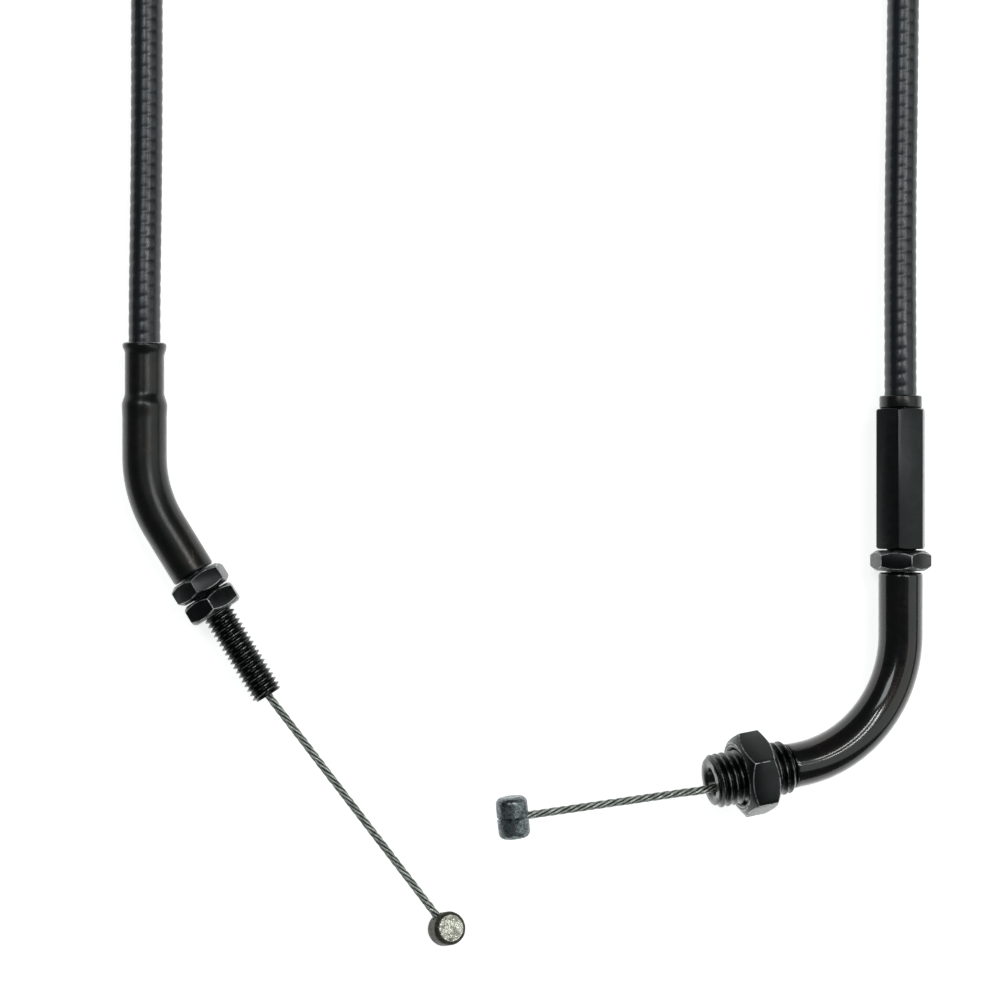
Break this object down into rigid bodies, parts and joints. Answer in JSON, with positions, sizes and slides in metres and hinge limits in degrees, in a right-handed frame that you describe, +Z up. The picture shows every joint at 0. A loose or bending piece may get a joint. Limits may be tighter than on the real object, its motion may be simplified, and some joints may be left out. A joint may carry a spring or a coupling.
{
  "type": "motorcycle throttle cable",
  "caption": "Sheathed pull cable with a bent, adjustable throttle-grip fitting at one end and a bent, threaded carburettor fitting at the other, its middle coiled.",
  "frame": {"origin": "on the surface that the cable lies on, under the middle of the box round its two end fittings", "axes": "+Z up off the surface, +X from the carburettor fitting to the throttle grip fitting, +Y from the fittings towards the coiled middle of the conduit"},
  "size_m": [0.1521, 0.3325, 0.0284],
  "materials": {
    "sheath_pvc": "satin extruded PVC",
    "black_zinc_steel": "black zinc plate, glossy",
    "black_oxide_steel": "black oxide, satin, worn edges",
    "cast_zinc": "as cast zinc alloy",
    "galvanised_wire": "bright galvanised strand",
    "spring_steel": "oiled flat spring wire",
    "liner_nylon": "natural nylon",
    "tie_nylon": "black nylon"
  },
  "bodies": {
    "conduit": {"conduit_coil": "sheath_pvc", "conduit_leg_carb": "sheath_pvc", "conduit_leg_throttle": "sheath_pvc", "coil_tie_1": "tie_nylon", "coil_tie_2": "tie_nylon", "coil_tie_3": "tie_nylon", "throttle_conduit_ferrule": "black_zinc_steel", "throttle_spiral_end": "spring_steel", "carb_spiral_end": "spring_steel", "carb_bent_tube": "black_zinc_steel", "carb_thread_stem": "black_zinc_steel"},
    "adjuster": {"adjuster_hexagon": "black_oxide_steel"},
    "lock_nut": {"adjuster_lock_nut": "black_oxide_steel"},
    "elbow": {"throttle_elbow": "black_zinc_steel", "elbow_liner": "liner_nylon", "throttle_thread_sleeve": "black_zinc_steel", "adjuster_stem": "black_zinc_steel"},
    "jam_nut": {"throttle_jam_nut": "black_oxide_steel"},
    "throttle_end": {"throttle_wire": "galvanised_wire", "throttle_barrel": "cast_zinc"},
    "carb_end": {"carb_wire": "galvanised_wire", "carb_barrel": "cast_zinc"},
    "carb_nut_a": {"carb_inner_nut": "black_oxide_steel"},
    "carb_nut_b": {"carb_outer_nut": "black_oxide_steel"}
  },
  "joints": [
    {"name": "adjuster_turn", "type": "hinge", "parent": "conduit", "child": "adjuster", "pos_m": [0.07045, 0.0138, 0.00577], "axis": [0, 1, 0], "range_deg": [0, 2160]},
    {"name": "lock_nut_turn", "type": "hinge", "parent": "adjuster", "child": "lock_nut", "pos_m": [0.07045, 0.0138, 0.00577], "axis": [0, -1, 0], "range_deg": [0, 90]},
    {"name": "elbow_slide", "type": "slide", "parent": "conduit", "child": "elbow", "axis": [0, -1, 0], "range_m": [0, 0.006]},
    {"name": "jam_nut_slide", "type": "slide", "parent": "elbow", "child": "jam_nut", "axis": [-0.954, -0.1511, 0.2588], "range_m": [-0.0036, 0.0049]},
    {"name": "throttle_pull", "type": "slide", "parent": "elbow", "child": "throttle_end", "axis": [-0.9606, -0.101, 0.2588], "range_m": [0, 0.03], "deforming": ["throttle_wire"]},
    {"name": "carb_pull", "type": "slide", "parent": "conduit", "child": "carb_end", "axis": [-0.6028, 0.797, 0.0382], "range_m": [0, 0.03], "deforming": ["carb_wire"]},
    {"name": "carb_inner_nut_slide", "type": "slide", "parent": "conduit", "child": "carb_nut_a", "axis": [0.5225, -0.8526, 0], "range_m": [0, 0.008]},
    {"name": "carb_outer_nut_slide", "type": "slide", "parent": "carb_nut_a", "child": "carb_nut_b", "axis": [0.5225, -0.8526, 0], "range_m": [0, 0.009]}
  ],
  "couplings": [
    {"joint": "adjuster_turn", "follows": "elbow_slide", "rad_per_m": 6283.2},
    {"joint": "carb_pull", "follows": "throttle_pull", "ratio": 1}
  ]
}
